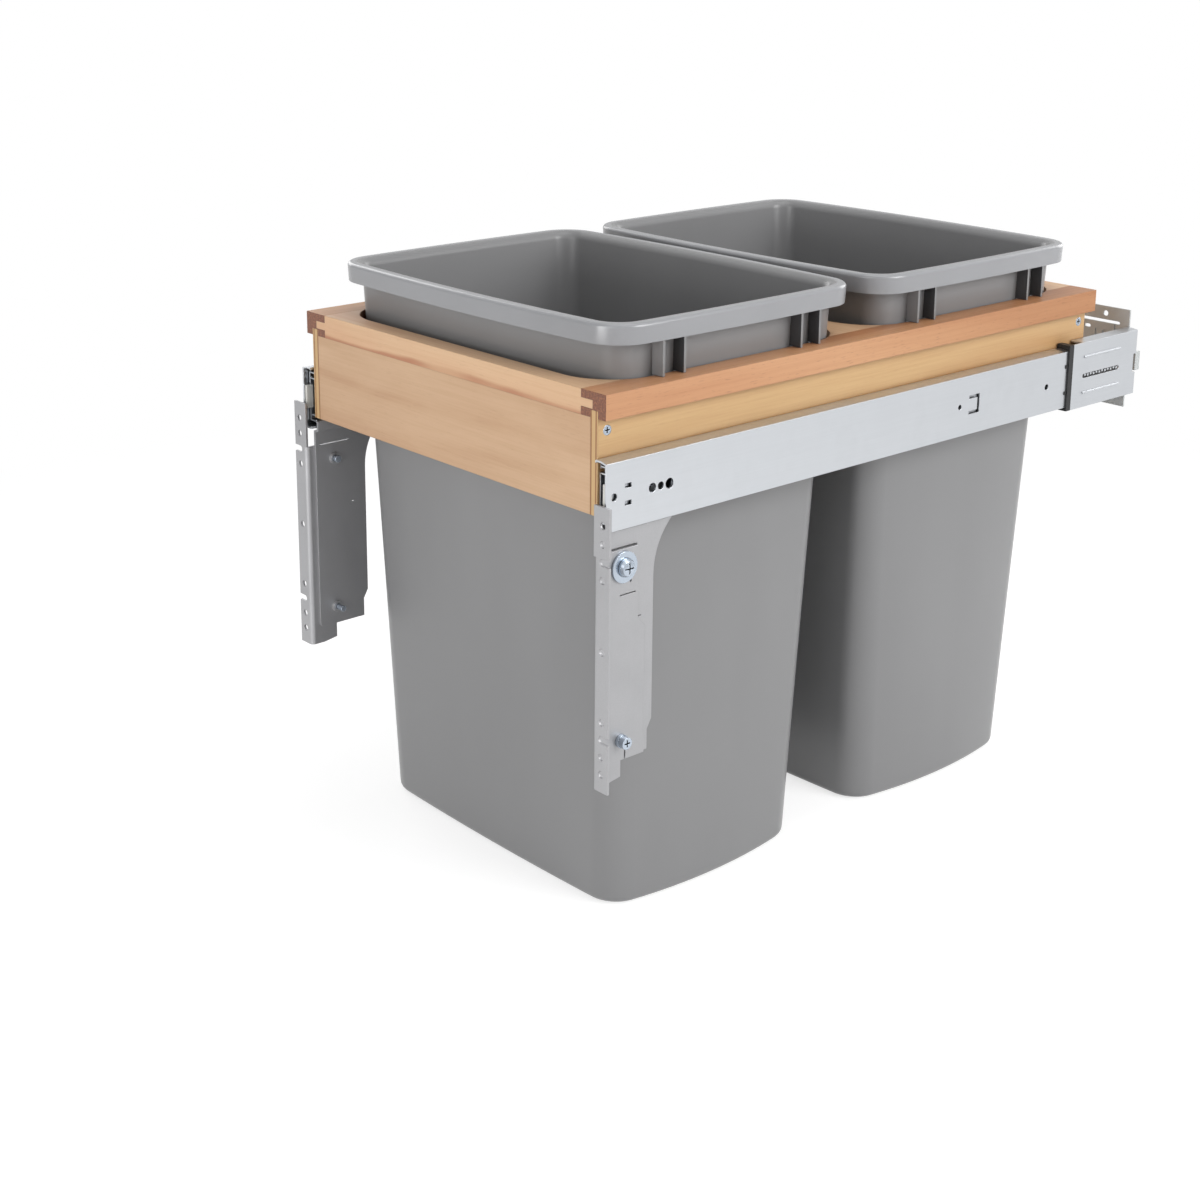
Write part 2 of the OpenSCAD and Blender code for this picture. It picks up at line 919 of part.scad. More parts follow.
// The bend between flange and web: what its round takes off outside and adds inside
module bend_corner() {
    difference() {
        translate([-over, -over])
            square(bend_out + over);
        translate([bend_out, bend_out])
            circle(bend_out);
    }
}

module bend_fill() {
    difference() {
        translate([bracket_t, bracket_t])
            square(bend_in);
        translate([bend_out, bend_out])
            circle(bend_in);
    }
}

module along_bend(below, above) {
    translate([web_x, flange_y, flange_bottom - below])
        linear_extrude(bracket_h - tongue_drop + below + above)
            children();
}

module door_bracket(side) {
    color(bracket_colour)
        on_side(side)
            difference() {
                union() {
                    along_y(flange_y, bracket_t)
                        flange_outline();
                    along_x(web_x, bracket_t)
                        web_outline();
                    along_bend(0, 0)
                        bend_fill();
                }
                along_bend(over, 0)
                    bend_corner();
            }
}

module clamp_washer(side) {
    color(steel_colour)
        on_side(side)
            translate([web_x + bracket_t, clamp_y, clamp_z])
                rotate([0, 90, 0])
                    difference() {
                        cylinder(h = washer_t, r = washer_r);
                        translate([0, 0, -over])
                            cylinder(h = washer_t + 2 * over, r = clamp_screw_r + fit);
                    }
}

module clamp_screw(side) {
    color(steel_colour)
        on_side(side)
            translate([web_x + bracket_t + washer_t, clamp_y, clamp_z])
                difference() {
                    union() {
                        pan_head(clamp_head_r, clamp_head_h);
                        rod_x([-clamp_screw_len, 0, 0], clamp_screw_r, clamp_screw_len);
                    }
                    translate([clamp_head_h, 0, 0])
                        cross_recess(clamp_head_r * cross_share, 2 * cross_depth);
                }
}

module adjusting_screw(side) {
    color(steel_colour)
        on_side(side)
            translate([web_x + bracket_t, adjust_y, adjust_z])
                difference() {
                    union() {
                        rod_x([0, 0, 0], adjust_collar_r, adjust_collar_h);
                        rod_x([0, 0, 0], adjust_head_r, adjust_head_h);
                        rod_x([-adjust_screw_len, 0, 0], adjust_screw_r, adjust_screw_len);
                    }
                    translate([adjust_head_h, 0, 0])
                        cross_recess(adjust_head_r * cross_share, 2 * cross_depth);
                }
}

// Bins: each ring of points is a rectangle with round corners and slightly bowed sides
function bin_ring(z, out) =
    let (
        down = (rim_z - z) / bin_h,
        a = rim_w / 2 - rim_out - taper_x * down + out,
        b = rim_len / 2 - rim_out - taper_y * down + out,
        r = bin_top_r + (bin_floor_r - bin_top_r) * down + out,
        side = side_arcs[0] + (side_arcs[1] - side_arcs[0]) * down,
        long = long_arcs[0] + (long_arcs[1] - long_arcs[0]) * down,
        det = sin(side) * sin(long) - (1 - cos(side)) * (1 - cos(long)),
        s = ((b - r) * sin(long) - (a - r) * (1 - cos(long))) / det,
        l = ((a - r) * sin(side) - (b - r) * (1 - cos(side))) / det,
        corner = [a - r - s * (1 - cos(side)), s * sin(side)],
        quarter = concat(
            arc_points([a - r - s, 0], r + s, 0, side, arc_steps),
            [for (i = [1:corner_steps - 1])
                let (t = side + (90 - long - side) * i / corner_steps)
                corner + r * [cos(t), sin(t)]],
            arc_points([0, b - r - l], r + l, 90 - long, 90, arc_steps)
        ),
        n = len(quarter)
    )
    concat(
        [for (i = [0:n - 1]) [quarter[i].x, quarter[i].y, z]],
        [for (i = [n - 2:-1:0]) [-quarter[i].x, quarter[i].y, z]],
        [for (i = [1:n - 1]) [-quarter[i].x, -quarter[i].y, z]],
        [for (i = [n - 2:-1:1]) [quarter[i].x, -quarter[i].y, z]]
    );

// The section's places, from the middle of the floor outside, over the rim and down the inside
bin_section = concat(
    [for (a = [0:30:90]) [floor_z + floor_fillet * (1 - cos(a)), -floor_fillet * (1 - sin(a))]],
    [
        [rim_z - bin_wall, 0], [rim_z - bin_wall, rim_out - bin_wall],
        [skirt_z, rim_out - bin_wall], [skirt_z, rim_out]
    ],
    [for (a = [0:30:90]) [rim_z - rim_round * (1 - sin(a)), rim_out - rim_round * (1 - cos(a))]],
    [for (a = [90:-45:0]) [rim_z - bin_wall * (1 - sin(a)), -bin_wall * cos(a)]],
    [for (a = [90:-30:0])
        [floor_z + bin_wall + floor_fillet * (1 - cos(a)), -bin_wall - floor_fillet * (1 - sin(a))]]
);

module bin_shell() {
    rings = [for (p = bin_section) bin_ring(p[0], p[1])];
    n = len(rings[0]);
    m = len(rings);
    points = [for (ring = rings) each ring];
    floor_out = [for (i = [0:n - 1]) i];
    floor_in = [for (i = [n - 1:-1:0]) (m - 1) * n + i];
    walls = [for (k = [0:m - 2], i = [0:n - 1])
        [k * n + i, (k + 1) * n + i, (k + 1) * n + (i + 1) % n, k * n + (i + 1) % n]];
    polyhedron(points, concat([floor_out], walls, [floor_in]), convexity = 8);
}

module bin_ribs() {
    wall_x = rim_w / 2 - rim_out - rib_in - taper_x * (rim_above / bin_h);
    for (x = [-1, 1], y = [-1, 1], spot = rib_spots)
        scale([x, 1, 1])
            translate([wall_x, y * spot - rib_t / 2, top_z + bin_seat_gap])
                cube([rim_w / 2 - rib_in - wall_x, rib_t, rim_above - bin_seat_gap - bin_wall / 2]);
}

module bin(i) {
    color(bin_colour)
        translate([0, opening_ys[i], 0])
            union() {
                bin_shell();
                bin_ribs();
            }
}

module front_bin() {
    bin(0);
}

module rear_bin() {
    bin(1);
}

front_rail();
rear_rail();
middle_rail();
side_rail(1);  // right_rail
side_rail(-1);  // left_rail
front_panel();
rear_panel();
side_panel(1);  // right_panel
side_panel(-1);  // left_panel
panel_screws();
front_bin();
rear_bin();
cabinet_member(1);  // right_cabinet_member
cabinet_member(-1);  // left_cabinet_member
middle_member(1);  // right_middle_member
middle_member(-1);  // left_middle_member
drawer_member(1);  // right_drawer_member
drawer_member(-1);  // left_drawer_member
cage(1, outer_cage_half, outer_ball_v);  // right_outer_cage
cage(-1, outer_cage_half, outer_ball_v);  // left_outer_cage
cage(1, inner_cage_half, inner_ball_v);  // right_inner_cage
cage(-1, inner_cage_half, inner_ball_v);  // left_inner_cage
ball_rows(1, outer_ball_v);  // right_outer_balls
ball_rows(-1, outer_ball_v);  // left_outer_balls
ball_rows(1, inner_ball_v);  // right_inner_balls
ball_rows(-1, inner_ball_v);  // left_inner_balls
slide_screws(1);  // right_slide_screws
slide_screws(-1);  // left_slide_screws
bumper(1);  // right_bumper
bumper(-1);  // left_bumper
collar(1);  // right_collar
collar(-1);  // left_collar
sleeve(1);  // right_sleeve
sleeve(-1);  // left_sleeve
wall_plate(1);  // right_wall_plate
wall_plate(-1);  // left_wall_plate
bracket_plate(1);  // right_bracket_plate
bracket_plate(-1);  // left_bracket_plate
door_bracket(1);  // right_door_bracket
door_bracket(-1);  // left_door_bracket
clamp_washer(1);  // right_clamp_washer
clamp_washer(-1);  // left_clamp_washer
clamp_screw(1);  // right_clamp_screw
clamp_screw(-1);  // left_clamp_screw
adjusting_screw(1);  // right_adjusting_screw
adjusting_screw(-1);  // left_adjusting_screw
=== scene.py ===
"""Pull-out waste bin unit: materials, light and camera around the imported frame."""

import json
import math

import bmesh
import bpy
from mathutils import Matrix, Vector


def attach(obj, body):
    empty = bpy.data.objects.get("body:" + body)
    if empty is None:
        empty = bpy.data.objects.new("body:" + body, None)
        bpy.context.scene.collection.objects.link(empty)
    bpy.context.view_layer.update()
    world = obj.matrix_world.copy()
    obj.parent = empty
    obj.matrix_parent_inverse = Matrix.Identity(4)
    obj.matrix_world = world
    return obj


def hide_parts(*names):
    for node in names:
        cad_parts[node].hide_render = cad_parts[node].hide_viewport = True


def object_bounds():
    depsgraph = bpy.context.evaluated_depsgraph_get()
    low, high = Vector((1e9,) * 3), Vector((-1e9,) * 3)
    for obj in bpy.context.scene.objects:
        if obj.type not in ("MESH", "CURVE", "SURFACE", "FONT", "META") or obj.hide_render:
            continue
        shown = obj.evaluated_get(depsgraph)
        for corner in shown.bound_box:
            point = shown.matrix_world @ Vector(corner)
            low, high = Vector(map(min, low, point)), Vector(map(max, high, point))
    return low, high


# Camera, as fitted to the photograph
PHOTO_SIZE = 1200
FOCAL_PX = 1929.63
CENTRE_PX = (539.99, 399.91)
SENSOR_MM = 36.0
CLIP = (0.01, 50.0)
CAMERA_AT = (1.1602, -0.8800, 0.41004)
CAMERA_YAW = 49.85
CAMERA_PITCH = 14.49

WHITE = (1.0, 1.0, 1.0, 1.0)
BLACK = (0.01, 0.01, 0.01, 1.0)

# The Mix node's colour sockets share their names with its number and vector sockets
MIX_A, MIX_B, MIX_RESULT = 6, 7, 2


# Nodes of a material


def set_range(node, low, high, to_low, to_high):
    """Fills the four limits of a Map Range node."""
    for key, number in zip(("From Min", "From Max", "To Min", "To Max"), (low, high, to_low, to_high)):
        node.inputs[key].default_value = number


class Tree:
    """A node material around one Principled shader, with short calls for its nodes."""

    def __init__(self, name):
        self.material = bpy.data.materials.new(name)
        self.material.use_nodes = True
        self.tree = self.material.node_tree
        self.shader = next(n for n in self.tree.nodes if n.type == "BSDF_PRINCIPLED")
        self.object = self.node("ShaderNodeTexCoord").outputs["Object"]
        self.normal = self.node("ShaderNodeTexCoord").outputs["Normal"]

    def node(self, kind, **values):
        made = self.tree.nodes.new(kind)
        for key, value in values.items():
            setattr(made, key, value)
        return made

    def put(self, socket, value):
        """Links an output to the socket, or writes a plain value there."""
        if isinstance(value, bpy.types.NodeSocket):
            self.tree.links.new(value, socket)
        else:
            socket.default_value = value

    def set(self, **sockets):
        """Fills the shader's sockets, named with _ for each blank."""
        for key, value in sockets.items():
            self.put(self.shader.inputs[key.replace("_", " ")], value)

    def scaled(self, scale, at=(0.0, 0.0, 0.0)):
        """The object's coordinates, scaled and moved."""
        made = self.node("ShaderNodeMapping")
        self.put(made.inputs["Vector"], self.object)
        made.inputs["Scale"].default_value = scale
        made.inputs["Location"].default_value = at
        return made.outputs["Vector"]

    def noise(self, vector, detail=2.0, roughness=0.5, distortion=0.0):
        made = self.node("ShaderNodeTexNoise")
        self.put(made.inputs["Vector"], vector)
        made.inputs["Scale"].default_value = 1.0
        made.inputs["Detail"].default_value = detail
        made.inputs["Roughness"].default_value = roughness
        made.inputs["Distortion"].default_value = distortion
        return made.outputs["Fac"]

    def math(self, operation, a, b=0.0, clamp=False):
        made = self.node("ShaderNodeMath", operation=operation, use_clamp=clamp)
        self.put(made.inputs[0], a)
        self.put(made.inputs[1], b)
        return made.outputs[0]

    def ramp(self, value, low, high, to_low=0.0, to_high=1.0):
        """Maps a value's range to another one, smoothly and clamped."""
        made = self.node("ShaderNodeMapRange", interpolation_type="SMOOTHSTEP")
        self.put(made.inputs["Value"], value)
        set_range(made, low, high, to_low, to_high)
        return made.outputs["Result"]

    def mix(self, share, a, b, blend="MIX"):
        made = self.node("ShaderNodeMix", data_type="RGBA", blend_type=blend)
        self.put(made.inputs["Factor"], share)
        self.put(made.inputs[MIX_A], a)
        self.put(made.inputs[MIX_B], b)
        return made.outputs[MIX_RESULT]

    def bump(self, height, strength, distance, normal=None):
        made = self.node("ShaderNodeBump")
        self.put(made.inputs["Height"], height)
        made.inputs["Strength"].default_value = strength
        made.inputs["Distance"].default_value = distance
        if normal is not None:
            self.put(made.inputs["Normal"], normal)
        return made.outputs["Normal"]

    def rounded(self, radius):
        """A normal that looks as if the edges were rounded."""
        made = self.node("ShaderNodeBevel", samples=4)
        made.inputs["Radius"].default_value = radius
        return made.outputs["Normal"]

    def paint_gap_shade(self, colour, reach, share, tint=BLACK):
        """Painted shade: darkens a colour in gaps and corners that are closer than the reach."""
        made = self.node("ShaderNodeAmbientOcclusion", samples=8)
        made.inputs["Distance"].default_value = reach
        return self.mix(self.ramp(made.outputs["AO"], 0.3, 0.9, share, 0.0), colour, tint)

    def part_of(self, vector, index):
        made = self.node("ShaderNodeSeparateXYZ")
        self.put(made.inputs[0], vector)
        return made.outputs[index]

    def facing(self, axis):
        """How far a face looks along an axis, from 0 to 1, whichever way round."""
        made = self.node("ShaderNodeVectorMath", operation="DOT_PRODUCT")
        self.put(made.inputs[0], self.normal)
        made.inputs[1].default_value = axis
        return self.math("ABSOLUTE", made.outputs["Value"])


def rgb(red, green, blue):
    """A colour as a picture shows it, from 0 to 255, in the shader's linear values."""
    linear = [(c / 255 + 0.055) / 1.055 for c in (red, green, blue)]
    return tuple(c**2.4 for c in linear) + (1.0,)


# Materials


def wood(name, along, tones, seed, figure, across_scale=9.0, pore_share=0.1, end_lines=0.0,
         streak=None, stain=None, drift=None):
    """Lacquered wood whose grain runs along one axis: figure, streaks, fibres, pores and end grain, with
    shade painted into its gaps and corners.

    The tones are a pale, a deep and an end grain colour. Where they are given, the stain clouds the
    wood, the streak reddens a band of heights and the drift tints it further along the grain.
    """
    pale, deep, end = tones
    t = Tree(name)
    axis = [0.0, 0.0, 0.0]
    axis[along] = 1.0

    def stretched(along_scale, cross_scale, shift):
        scale = [cross_scale] * 3
        scale[along] = along_scale
        return t.scaled(scale, at=(seed + shift, seed - shift, seed + 2 * shift))

    contour = t.noise(stretched(1.3, across_scale, 0.0), detail=1.5, roughness=0.45, distortion=0.25)
    rings = t.math("PINGPONG", t.math("MULTIPLY", contour, 13.0), 1.0)
    tone = t.noise(stretched(1.8, 12.0, 3.1), detail=2.0)
    fibres = t.noise(stretched(11.0, 520.0, 5.3), detail=3.0, roughness=0.6)
    streaks = t.noise(stretched(3.5, 70.0, 7.7), detail=2.0)
    pores = t.ramp(t.noise(stretched(110.0, 1100.0, 9.1), detail=1.0), 0.62, 0.76)

    share = t.math("MULTIPLY", t.ramp(rings, 0.25, 1.0), figure)
    share = t.math("ADD", share, t.math("MULTIPLY", t.ramp(tone, 0.3, 0.72), 0.4))
    share = t.math("ADD", share, t.math("MULTIPLY", t.ramp(streaks, 0.48, 0.74), 0.3), clamp=True)
    colour = t.mix(share, pale, deep)
    grain = t.math("MULTIPLY", t.ramp(fibres, 0.35, 0.75), 0.12)
    colour = t.mix(grain, colour, deep, "MULTIPLY")
    colour = t.mix(t.math("MULTIPLY", pores, pore_share), colour, end)
    if drift:
        low, high, tint = drift
        colour = t.mix(t.ramp(t.part_of(t.object, along), low, high), colour, tint, "MULTIPLY")
    if stain:
        cloud = t.noise(stretched(7.0, 26.0, 4.4), detail=3.0, roughness=0.6, distortion=0.4)
        colour = t.mix(t.ramp(cloud, 0.42, 0.72, 0.0, 0.4), colour, stain)
    if streak:
        low, high, tint = streak
        height = t.part_of(t.object, 2)
        wave = t.noise(stretched(6.0, 26.0, 1.7), detail=3.0)
        edge = t.math("ADD", height, t.math("MULTIPLY", wave, 0.012))
        patchy = t.ramp(t.noise(stretched(9.0, 9.0, 6.1)), 0.38, 0.62, 0.3, 0.85)
        colour = t.mix(t.math("MULTIPLY", t.ramp(edge, low, high, 1.0, 0.0), patchy), colour, tint)

    speckle = t.noise(t.scaled((650.0,) * 3), detail=3.0)
    end_colour = t.mix(t.ramp(speckle, 0.4, 0.7, 0.0, 0.45), end, deep)
    if end_lines:
        x = t.part_of(t.object, 0)
        layers = t.math("PINGPONG", t.math("MULTIPLY", x, end_lines), 1.0)
        end_colour = t.mix(t.ramp(layers, 0.6, 0.85), pale, end)
    is_end = t.ramp(t.facing(axis), 0.7, 0.85)
    colour = t.mix(is_end, colour, end_colour)
    # Painted shade: the colour darkens towards the end grain tone in gaps and corners
    colour = t.paint_gap_shade(colour, WOOD_SHADE_REACH, WOOD_SHADE_SHARE, end)
    t.set(Base_Color=colour, Specular_IOR_Level=0.45, Coat_Weight=0.1, Coat_Roughness=0.3)
    t.set(Roughness=t.ramp(fibres, 0.2, 0.9, 0.42, 0.56))
    height = t.math("ADD", t.math("MULTIPLY", fibres, 0.5), t.math("MULTIPLY", pores, -0.4))
    t.set(Normal=t.bump(height, 0.2, 0.0002, t.rounded(EDGE_ROUND)))
    return t.material


def plastic(name, colour, rough, gloss=0.5):
    """Moulded plastic with a fine spark-eroded texture and faint flow marks."""
    t = Tree(name)
    fine = t.noise(t.scaled((1500.0,) * 3), detail=2.0)
    flow = t.noise(t.scaled((9.0, 9.0, 2.5)), detail=2.0)
    deep = tuple(c * 0.93 for c in colour[:3]) + (1.0,)
    t.set(Base_Color=t.mix(t.ramp(flow, 0.3, 0.7), colour, deep))
    t.set(Roughness=t.ramp(flow, 0.2, 0.8, rough - 0.03, rough + 0.05))
    t.set(Specular_IOR_Level=gloss, Normal=t.bump(fine, 0.12, 0.00012))
    return t.material


def metal(name, colour, rough, along=1, brushed=0.5, metallic=1.0, speckle=0.0, gap_shade=None):
    """Sheet metal with rolling marks along one axis and faint stains.

    A speckle adds a dotted coating. The last argument, where given, is the reach and share of the shade
    painted into its gaps.
    """
    t = Tree(name)
    scale = [700.0, 700.0, 700.0]
    scale[along] = 9.0
    marks = t.noise(t.scaled(scale), detail=3.0, roughness=0.6)
    stains = t.noise(t.scaled((22.0,) * 3), detail=3.0)
    dark = tuple(c * 0.86 for c in colour[:3]) + (1.0,)
    share = t.math("ADD", t.math("MULTIPLY", t.ramp(marks, 0.3, 0.8), 0.35 * brushed),
                   t.math("MULTIPLY", t.ramp(stains, 0.4, 0.7), 0.3), clamp=True)
    tone = t.mix(share, colour, dark)
    height = t.math("MULTIPLY", marks, brushed)
    if speckle:
        dots = t.noise(t.scaled((1300.0,) * 3), detail=2.0)
        tone = t.mix(t.math("MULTIPLY", t.ramp(dots, 0.35, 0.7), speckle), tone, dark)
        height = t.math("ADD", height, t.math("MULTIPLY", dots, 0.8))
    # Painted shade in the metal's gaps and recesses
    if gap_shade:
        tone = t.paint_gap_shade(tone, *gap_shade)
    t.set(Base_Color=tone, Metallic=metallic)
    t.set(Roughness=t.ramp(stains, 0.2, 0.8, rough - 0.05, rough + 0.07))
    t.set(Normal=t.bump(height, 0.18, 0.00008, t.rounded(BEND_ROUND)))
    return t.material


BEND_ROUND, EDGE_ROUND = 0.0007, 0.0011
# Reach and share of the shade painted into the wood's gaps
WOOD_SHADE_REACH, WOOD_SHADE_SHARE = 0.012, 0.5

# Pale, deep and end grain tones of each wood
END_GRAIN = rgb(116, 73, 57)
MAPLE = (rgb(220, 185, 148), rgb(203, 158, 120), END_GRAIN)
SIDE_MAPLE = (rgb(206, 159, 119), rgb(178, 122, 82), END_GRAIN)
PANEL = (rgb(204, 170, 136), rgb(186, 147, 113), END_GRAIN)
PLY = (rgb(199, 165, 118), rgb(178, 137, 90), rgb(150, 104, 66))

MAPLE_STAIN = rgb(207, 156, 122)
PANEL_CLOUD = rgb(211, 178, 144)
RED_STREAK = (0.0630, 0.0668, rgb(172, 112, 80))
# Darker and browner towards the rear end of the side rails
REARWARD_TINT = (0.05, 0.56, (0.75, 0.66, 0.56, 1.0))
PLY_LAYERS = 375.0


def materials():
    """Every finish by the record's slot, with more for the wood, the bins and the wall plates."""
    # The bins' roughness stays above 0.28: where it went lower, thin lines showed in the render
    return {
        "board_x": wood("board_x", 0, MAPLE, 3.7, figure=0.22, streak=RED_STREAK, stain=MAPLE_STAIN),
        "board_y": wood("board_y", 1, SIDE_MAPLE, 8.2, figure=0.25, pore_share=0.3, drift=REARWARD_TINT),
        "apron": wood("apron", 0, PANEL, 5.4, figure=0.3, stain=PANEL_CLOUD),
        "ply": wood("ply", 1, PLY, 1.9, figure=0.34, across_scale=6.0, end_lines=PLY_LAYERS),
        "bin": plastic("bin", rgb(131, 131, 132), rough=0.31),
        # Painted light: the rim is the bins' own plastic painted lighter, and glossier
        "bin_rim_painted_light": plastic("bin_rim_painted_light", rgb(146, 147, 150), rough=0.22, gloss=0.8),
        # Painted shade: a dark plastic for the ribs' front faces, where shade falls between them
        "bin_rib_shade": plastic("bin_rib_shade", rgb(64, 64, 66), rough=0.4),
        # The zinc has shade painted into its gaps, along the slides' lips
        "zinc": metal("zinc", rgb(206, 209, 213), rough=0.34, gap_shade=(0.005, 0.5)),
        "cage": metal("cage", rgb(170, 168, 160), rough=0.4),
        "ball": metal("ball", rgb(205, 207, 210), rough=0.15, brushed=0.1),
        # The screws have shade painted into their cross recesses
        "screw": metal("screw", rgb(186, 196, 208), rough=0.2, brushed=0.2, gap_shade=(0.0015, 0.92)),
        "bracket": metal("bracket", rgb(174, 174, 176), rough=0.48, along=2, brushed=0.25,
                         metallic=0.8, speckle=0.35),
        "wall_plate": metal("wall_plate", rgb(194, 197, 197), rough=0.5, along=0, brushed=0.6,
                            metallic=0.6),
        "collar": plastic("collar", rgb(22, 22, 24), rough=0.5),
        "bumper": plastic("bumper", rgb(214, 213, 207), rough=0.4),
    }


CROSS_RAILS = ("front_rail", "middle_rail", "rear_rail")


def finish_for(node, slot, made):
    if slot == "board":
        return made["board_x" if node in CROSS_RAILS else "board_y"]
    if node.endswith("wall_plate"):
        return made["wall_plate"]
    return made[slot]


def dress(frame):
    """Gives every CAD node the finish of its slot."""
    made = materials()
    for part in frame["record"]["subparts"]:
        node, slot = part["node"], part["material_slot"]
        mesh = frame["nodes"][node].data
        mesh.materials.clear()
        mesh.materials.append(finish_for(node, slot, made))
    return made


# Bins, in millimetres, with the sizes of the part's source

RIM_W, RIM_LEN, RIM_OUT = 357.0, 274.6, 12.0
RIM_Z, BIN_H, SKIRT_H, BIN_WALL = 118.0, 478.5, 15.6, 2.5
TAPER_X, TAPER_Y = 9.3, 17.4
TOP_R, FLOOR_R = 20.0, 29.0
SIDE_ARCS, LONG_ARCS = (2.0, 10.0), (3.6, 2.3)
FLOOR_FILLET, RIM_ROUND, LIP_R = 7.0, 3.0, 7.0
RIB_SPOTS, RIB_T, RIB_IN, RIB_FROM = (63.0, 84.0), 2.2, 1.0, 75.1
BIN_YS = {"front_bin": 152.0, "rear_bin": 440.0}
MM = 0.001

# How finely the bins are cut, the order of their finishes and the angle of a sharp edge
SIDE_STEPS, CORNER_STEPS, FILLET_STEPS = 8, 18, 6
WALL_SHARES = (0.25, 0.5, 0.75)
# Finish 1 carries the rim's painted light, finish 2 the ribs' painted shade
RIM_LIGHT_FINISH, RIB_SHADE_FINISH = 1, 2
SHARP_EDGE = 38.0


def between(pair, share):
    return pair[0] + (pair[1] - pair[0]) * share


def bin_ring(z, out):
    """One closed outline of the bin at a height, with bowed sides and round corners."""
    down = (RIM_Z - z) / BIN_H
    a = RIM_W / 2 - RIM_OUT - TAPER_X * down + out
    b = RIM_LEN / 2 - RIM_OUT - TAPER_Y * down + out
    r = between((TOP_R, FLOOR_R), down) + out
    side = math.radians(between(SIDE_ARCS, down))
    long = math.radians(between(LONG_ARCS, down))
    det = math.sin(side) * math.sin(long) - (1 - math.cos(side)) * (1 - math.cos(long))
    s = ((b - r) * math.sin(long) - (a - r) * (1 - math.cos(long))) / det
    l = ((a - r) * math.sin(side) - (b - r) * (1 - math.cos(side))) / det
    corner = (a - r - s * (1 - math.cos(side)), s * math.sin(side))
    quarter = []
    for i in range(SIDE_STEPS + 1):
        t = side * i / SIDE_STEPS
        quarter.append((a - r - s + (r + s) * math.cos(t), (r + s) * math.sin(t)))
    for i in range(1, CORNER_STEPS):
        t = side + (math.pi / 2 - long - side) * i / CORNER_STEPS
        quarter.append((corner[0] + r * math.cos(t), corner[1] + r * math.sin(t)))
    for i in range(SIDE_STEPS + 1):
        t = math.pi / 2 - long + long * i / SIDE_STEPS
        quarter.append(((r + l) * math.cos(t), b - r - l + (r + l) * math.sin(t)))
    points = list(quarter)
    points += [(-x, y) for x, y in reversed(quarter[:-1])]
    points += [(-x, -y) for x, y in quarter[1:]]
    points += [(x, -y) for x, y in reversed(quarter[1:-1])]
    return [(x, y, z) for x, y in points]


def turned(steps, start, end):
    """Sines and cosines from one angle to another, in degrees."""
    for i in range(steps + 1):
        angle = math.radians(start + (end - start) * i / steps)
        yield math.sin(angle), math.cos(angle)


def bin_section():
    """Heights and offsets from the floor outside, over the rim and down the inside."""
    floor_z = RIM_Z - BIN_H
    skirt_z = RIM_Z - SKIRT_H
    neck_z = RIM_Z - BIN_WALL
    lip_z = RIM_Z - LIP_R
    lip_out = LIP_R - BIN_WALL

    def fillet(bottom, out, start, end):
        return [(bottom + FLOOR_FILLET * (1 - c), out - FLOOR_FILLET * (1 - s))
                for s, c in turned(FILLET_STEPS, start, end)]

    def wall(bottom, out, shares):
        low = bottom + FLOOR_FILLET
        return [(low + (lip_z - low) * share, out) for share in shares]

    places = fillet(floor_z, 0.0, 0, 90) + wall(floor_z, 0.0, WALL_SHARES)
    places += [(lip_z + lip_out * s, lip_out * (1 - c)) for s, c in turned(FILLET_STEPS, 0, 90)]
    places += [(neck_z, RIM_OUT - BIN_WALL), (skirt_z, RIM_OUT - BIN_WALL), (skirt_z, RIM_OUT)]
    places += [(RIM_Z - RIM_ROUND * (1 - s), RIM_OUT - RIM_ROUND * (1 - c))
               for s, c in turned(FILLET_STEPS, 0, 90)]
    places += [(lip_z + LIP_R * s, lip_out - LIP_R * c) for s, c in turned(FILLET_STEPS, 90, 0)]
    floor_in = floor_z + BIN_WALL
    return places + wall(floor_in, -BIN_WALL, WALL_SHARES[::-1]) + fillet(floor_in, -BIN_WALL, 90, 0)


def add_box(mesh, low, high):
    """A box between two corners."""
    made = bmesh.ops.create_cube(mesh, size=1.0)["verts"]
    for vertex in made:
        for axis in range(3):
            vertex.co[axis] = (low[axis] + high[axis]) / 2 + vertex.co[axis] * (high[axis] - low[axis])
    return made


def finish_mesh(name, mesh, finishes, body):
    """Turns a bmesh in millimetres into a piece that rides on a body."""
    bmesh.ops.scale(mesh, vec=(MM, MM, MM), verts=mesh.verts)
    bmesh.ops.recalc_face_normals(mesh, faces=mesh.faces)
    data = bpy.data.meshes.new(name)
    mesh.to_mesh(data)
    mesh.free()
    data.shade_smooth()
    data.set_sharp_from_angle(angle=math.radians(SHARP_EDGE))
    for finish in finishes:
        data.materials.append(finish)
    piece = bpy.data.objects.new(name, data)
    bpy.context.scene.collection.objects.link(piece)
    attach(piece, body)
    return piece


def skirt_x(y):
    """Half the skirt's width at a distance in front of or behind the bin's middle."""
    outline = [p for p in bin_ring(RIM_Z - SKIRT_H, RIM_OUT) if p[0] > 0 and p[1] >= 0]
    return min(p[0] for p in outline if p[1] <= y + RIB_T)


def paint(vertices, finish, wanted=lambda face: True):
    """Gives the faces around some vertices a finish by its number."""
    for face in {face for vertex in vertices for face in vertex.link_faces}:
        if wanted(face):
            face.material_index = finish


def add_rib(mesh, x, y):
    """A rib between the bin's wall and its skirt. All but the foremost have painted shade on their front.
    """
    inner = RIM_W / 2 - RIM_OUT - RIB_IN - TAPER_X * (RIM_Z - RIB_FROM) / BIN_H
    outer = skirt_x(abs(y) + RIB_T / 2) - RIB_IN
    low_x, high_x = sorted((x * inner, x * outer))
    made = add_box(mesh, (low_x, y - RIB_T / 2, RIB_FROM), (high_x, y + RIB_T / 2, RIM_Z - LIP_R - RIB_IN))
    # Painted shade on the front faces of all but the foremost ribs
    if y > -max(RIB_SPOTS):
        paint(made, RIB_SHADE_FINISH, lambda face: all(vertex.co.y < y for vertex in face.verts))


